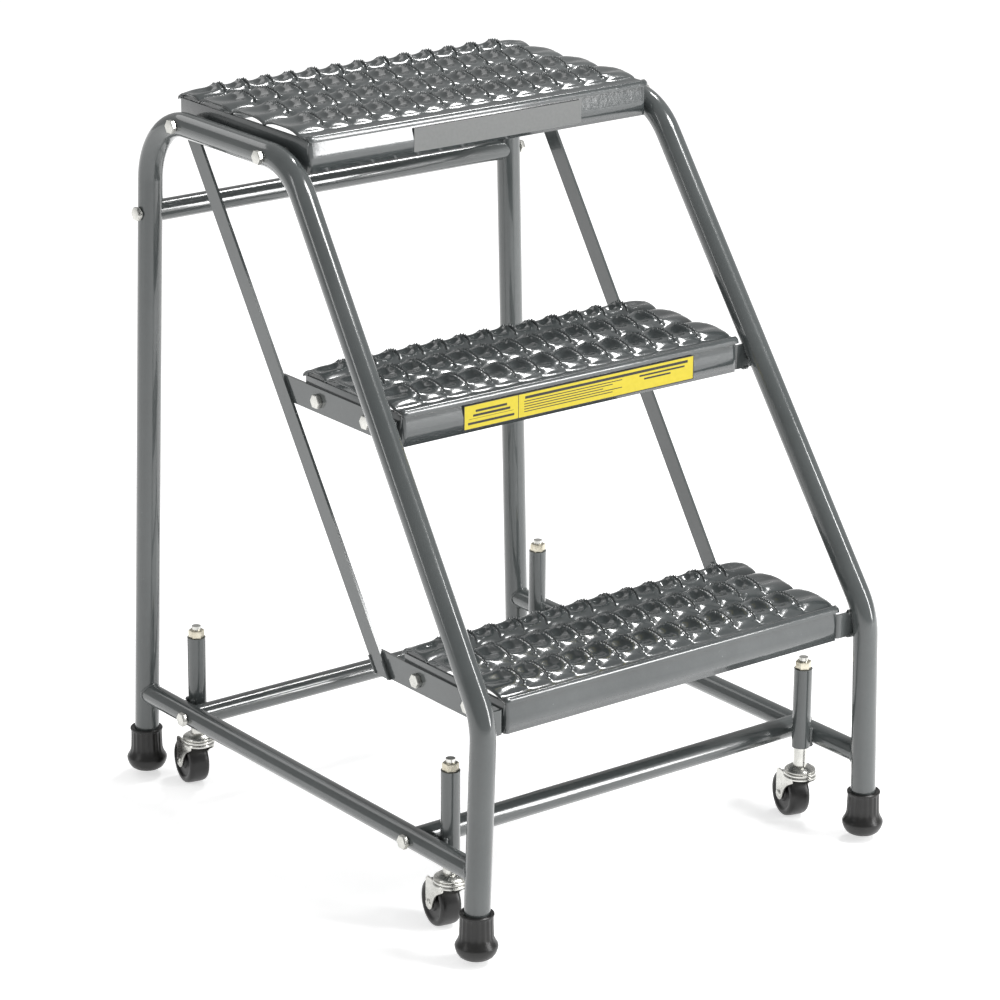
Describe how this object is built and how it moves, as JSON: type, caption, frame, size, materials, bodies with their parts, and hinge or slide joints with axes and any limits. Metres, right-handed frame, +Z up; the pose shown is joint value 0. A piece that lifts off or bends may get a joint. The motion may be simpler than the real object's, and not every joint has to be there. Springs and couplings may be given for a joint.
{
  "type": "mobile ladder stand",
  "caption": "Rolling three-step ladder stand with bent tube side frames, serrated steps, sprung retracting casters and rubber foot tips.",
  "frame": {"origin": "on the floor under the middle of the stand's footprint", "axes": "+X across the steps, to the right of a person climbing; +Y away from the climber, towards the rear legs; +Z up"},
  "size_m": [0.5346, 0.617, 0.743],
  "materials": {
    "frame_enamel": "gloss enamel",
    "step_enamel": "gloss enamel on formed sheet",
    "zinc": "bright zinc plate",
    "tip_rubber": "moulded, satin",
    "wheel_rubber": "smooth hard rubber",
    "label_grey": "printed vinyl, blank",
    "label_yellow": null
  },
  "bodies": {
    "stand": {"bracket_low_left": "frame_enamel", "bracket_low_right": "frame_enamel", "bracket_mid_left": "frame_enamel", "bracket_mid_right": "frame_enamel", "cross_tube_bolts": "zinc", "cross_tube_front": "frame_enamel", "cross_tube_plugs": "zinc", "cross_tube_rear": "frame_enamel", "cross_tube_upper": "frame_enamel", "foot_tips": "tip_rubber", "label_mid": "label_yellow", "label_top": "label_grey", "side_frame_left": "frame_enamel", "side_frame_right": "frame_enamel", "side_rail_left": "frame_enamel", "side_rail_right": "frame_enamel", "socket_caps": "zinc", "socket_front_left": "frame_enamel", "socket_front_right": "frame_enamel", "socket_rear_left": "frame_enamel", "socket_rear_right": "frame_enamel", "stem_spring_front_left": "zinc", "stem_spring_front_right": "zinc", "stem_spring_rear_left": "zinc", "stem_spring_rear_right": "zinc", "step_bolts": "zinc", "step_end_plates": "frame_enamel", "step_low": "step_enamel", "step_mid": "step_enamel", "step_nuts": "zinc", "step_top": "step_enamel", "stringer_left": "frame_enamel", "stringer_right": "frame_enamel", "top_step_bolts": "zinc", "top_step_spacers": "zinc"},
    "stem_front_left": {"caster_stem_front_left": "zinc", "stem_nut_front_left": "zinc", "caster_race_front_left": "zinc"},
    "fork_front_left": {"caster_fork_front_left": "zinc", "caster_axle_front_left": "zinc"},
    "wheel_front_left": {"caster_wheel_front_left": "wheel_rubber"},
    "stem_front_right": {"caster_stem_front_right": "zinc", "stem_nut_front_right": "zinc", "caster_race_front_right": "zinc"},
    "fork_front_right": {"caster_fork_front_right": "zinc", "caster_axle_front_right": "zinc"},
    "wheel_front_right": {"caster_wheel_front_right": "wheel_rubber"},
    "stem_rear_left": {"caster_stem_rear_left": "zinc", "stem_nut_rear_left": "zinc", "caster_race_rear_left": "zinc"},
    "fork_rear_left": {"caster_fork_rear_left": "zinc", "caster_axle_rear_left": "zinc"},
    "wheel_rear_left": {"caster_wheel_rear_left": "wheel_rubber"},
    "stem_rear_right": {"caster_stem_rear_right": "zinc", "stem_nut_rear_right": "zinc", "caster_race_rear_right": "zinc"},
    "fork_rear_right": {"caster_fork_rear_right": "zinc", "caster_axle_rear_right": "zinc"},
    "wheel_rear_right": {"caster_wheel_rear_right": "wheel_rubber"}
  },
  "joints": [
    {"name": "retract_front_left", "type": "slide", "parent": "stand", "child": "stem_front_left", "axis": [0, 0, 1], "range_m": [0, 0.012], "stiffness_N_per_m": 4000, "springref_m": -0.0175, "deforming": ["stem_spring_front_left"]},
    {"name": "swivel_front_left", "type": "hinge", "parent": "stem_front_left", "child": "fork_front_left", "pos_m": [-0.22368, -0.2155, 0.0516], "axis": [0, 0, 1], "continuous": true},
    {"name": "roll_front_left", "type": "hinge", "parent": "fork_front_left", "child": "wheel_front_left", "pos_m": [-0.22046, -0.19728, 0.024], "axis": [0.9848, -0.1736, 0], "continuous": true},
    {"name": "retract_front_right", "type": "slide", "parent": "stand", "child": "stem_front_right", "axis": [0, 0, 1], "range_m": [0, 0.012], "stiffness_N_per_m": 4000, "springref_m": -0.0175, "deforming": ["stem_spring_front_right"]},
    {"name": "swivel_front_right", "type": "hinge", "parent": "stem_front_right", "child": "fork_front_right", "pos_m": [0.22368, -0.2155, 0.0516], "axis": [0, 0, 1], "continuous": true},
    {"name": "roll_front_right", "type": "hinge", "parent": "fork_front_right", "child": "wheel_front_right", "pos_m": [0.22846, -0.19763, 0.024], "axis": [0.9659, -0.2588, 0], "continuous": true},
    {"name": "retract_rear_left", "type": "slide", "parent": "stand", "child": "stem_rear_left", "axis": [0, 0, 1], "range_m": [0, 0.012], "stiffness_N_per_m": 4000, "springref_m": -0.0175, "deforming": ["stem_spring_rear_left"]},
    {"name": "swivel_rear_left", "type": "hinge", "parent": "stem_rear_left", "child": "fork_rear_left", "pos_m": [-0.22368, 0.223, 0.0516], "axis": [0, 0, 1], "continuous": true},
    {"name": "roll_rear_left", "type": "hinge", "parent": "fork_rear_left", "child": "wheel_rear_left", "pos_m": [-0.22046, 0.24122, 0.024], "axis": [0.9848, -0.1736, 0], "continuous": true},
    {"name": "retract_rear_right", "type": "slide", "parent": "stand", "child": "stem_rear_right", "axis": [0, 0, 1], "range_m": [0, 0.012], "stiffness_N_per_m": 4000, "springref_m": -0.0175, "deforming": ["stem_spring_rear_right"]},
    {"name": "swivel_rear_right", "type": "hinge", "parent": "stem_rear_right", "child": "fork_rear_right", "pos_m": [0.22368, 0.223, 0.0516], "axis": [0, 0, 1], "continuous": true},
    {"name": "roll_rear_right", "type": "hinge", "parent": "fork_rear_right", "child": "wheel_rear_right", "pos_m": [0.22752, 0.2411, 0.024], "axis": [0.9781, -0.2079, 0], "continuous": true}
  ]
}
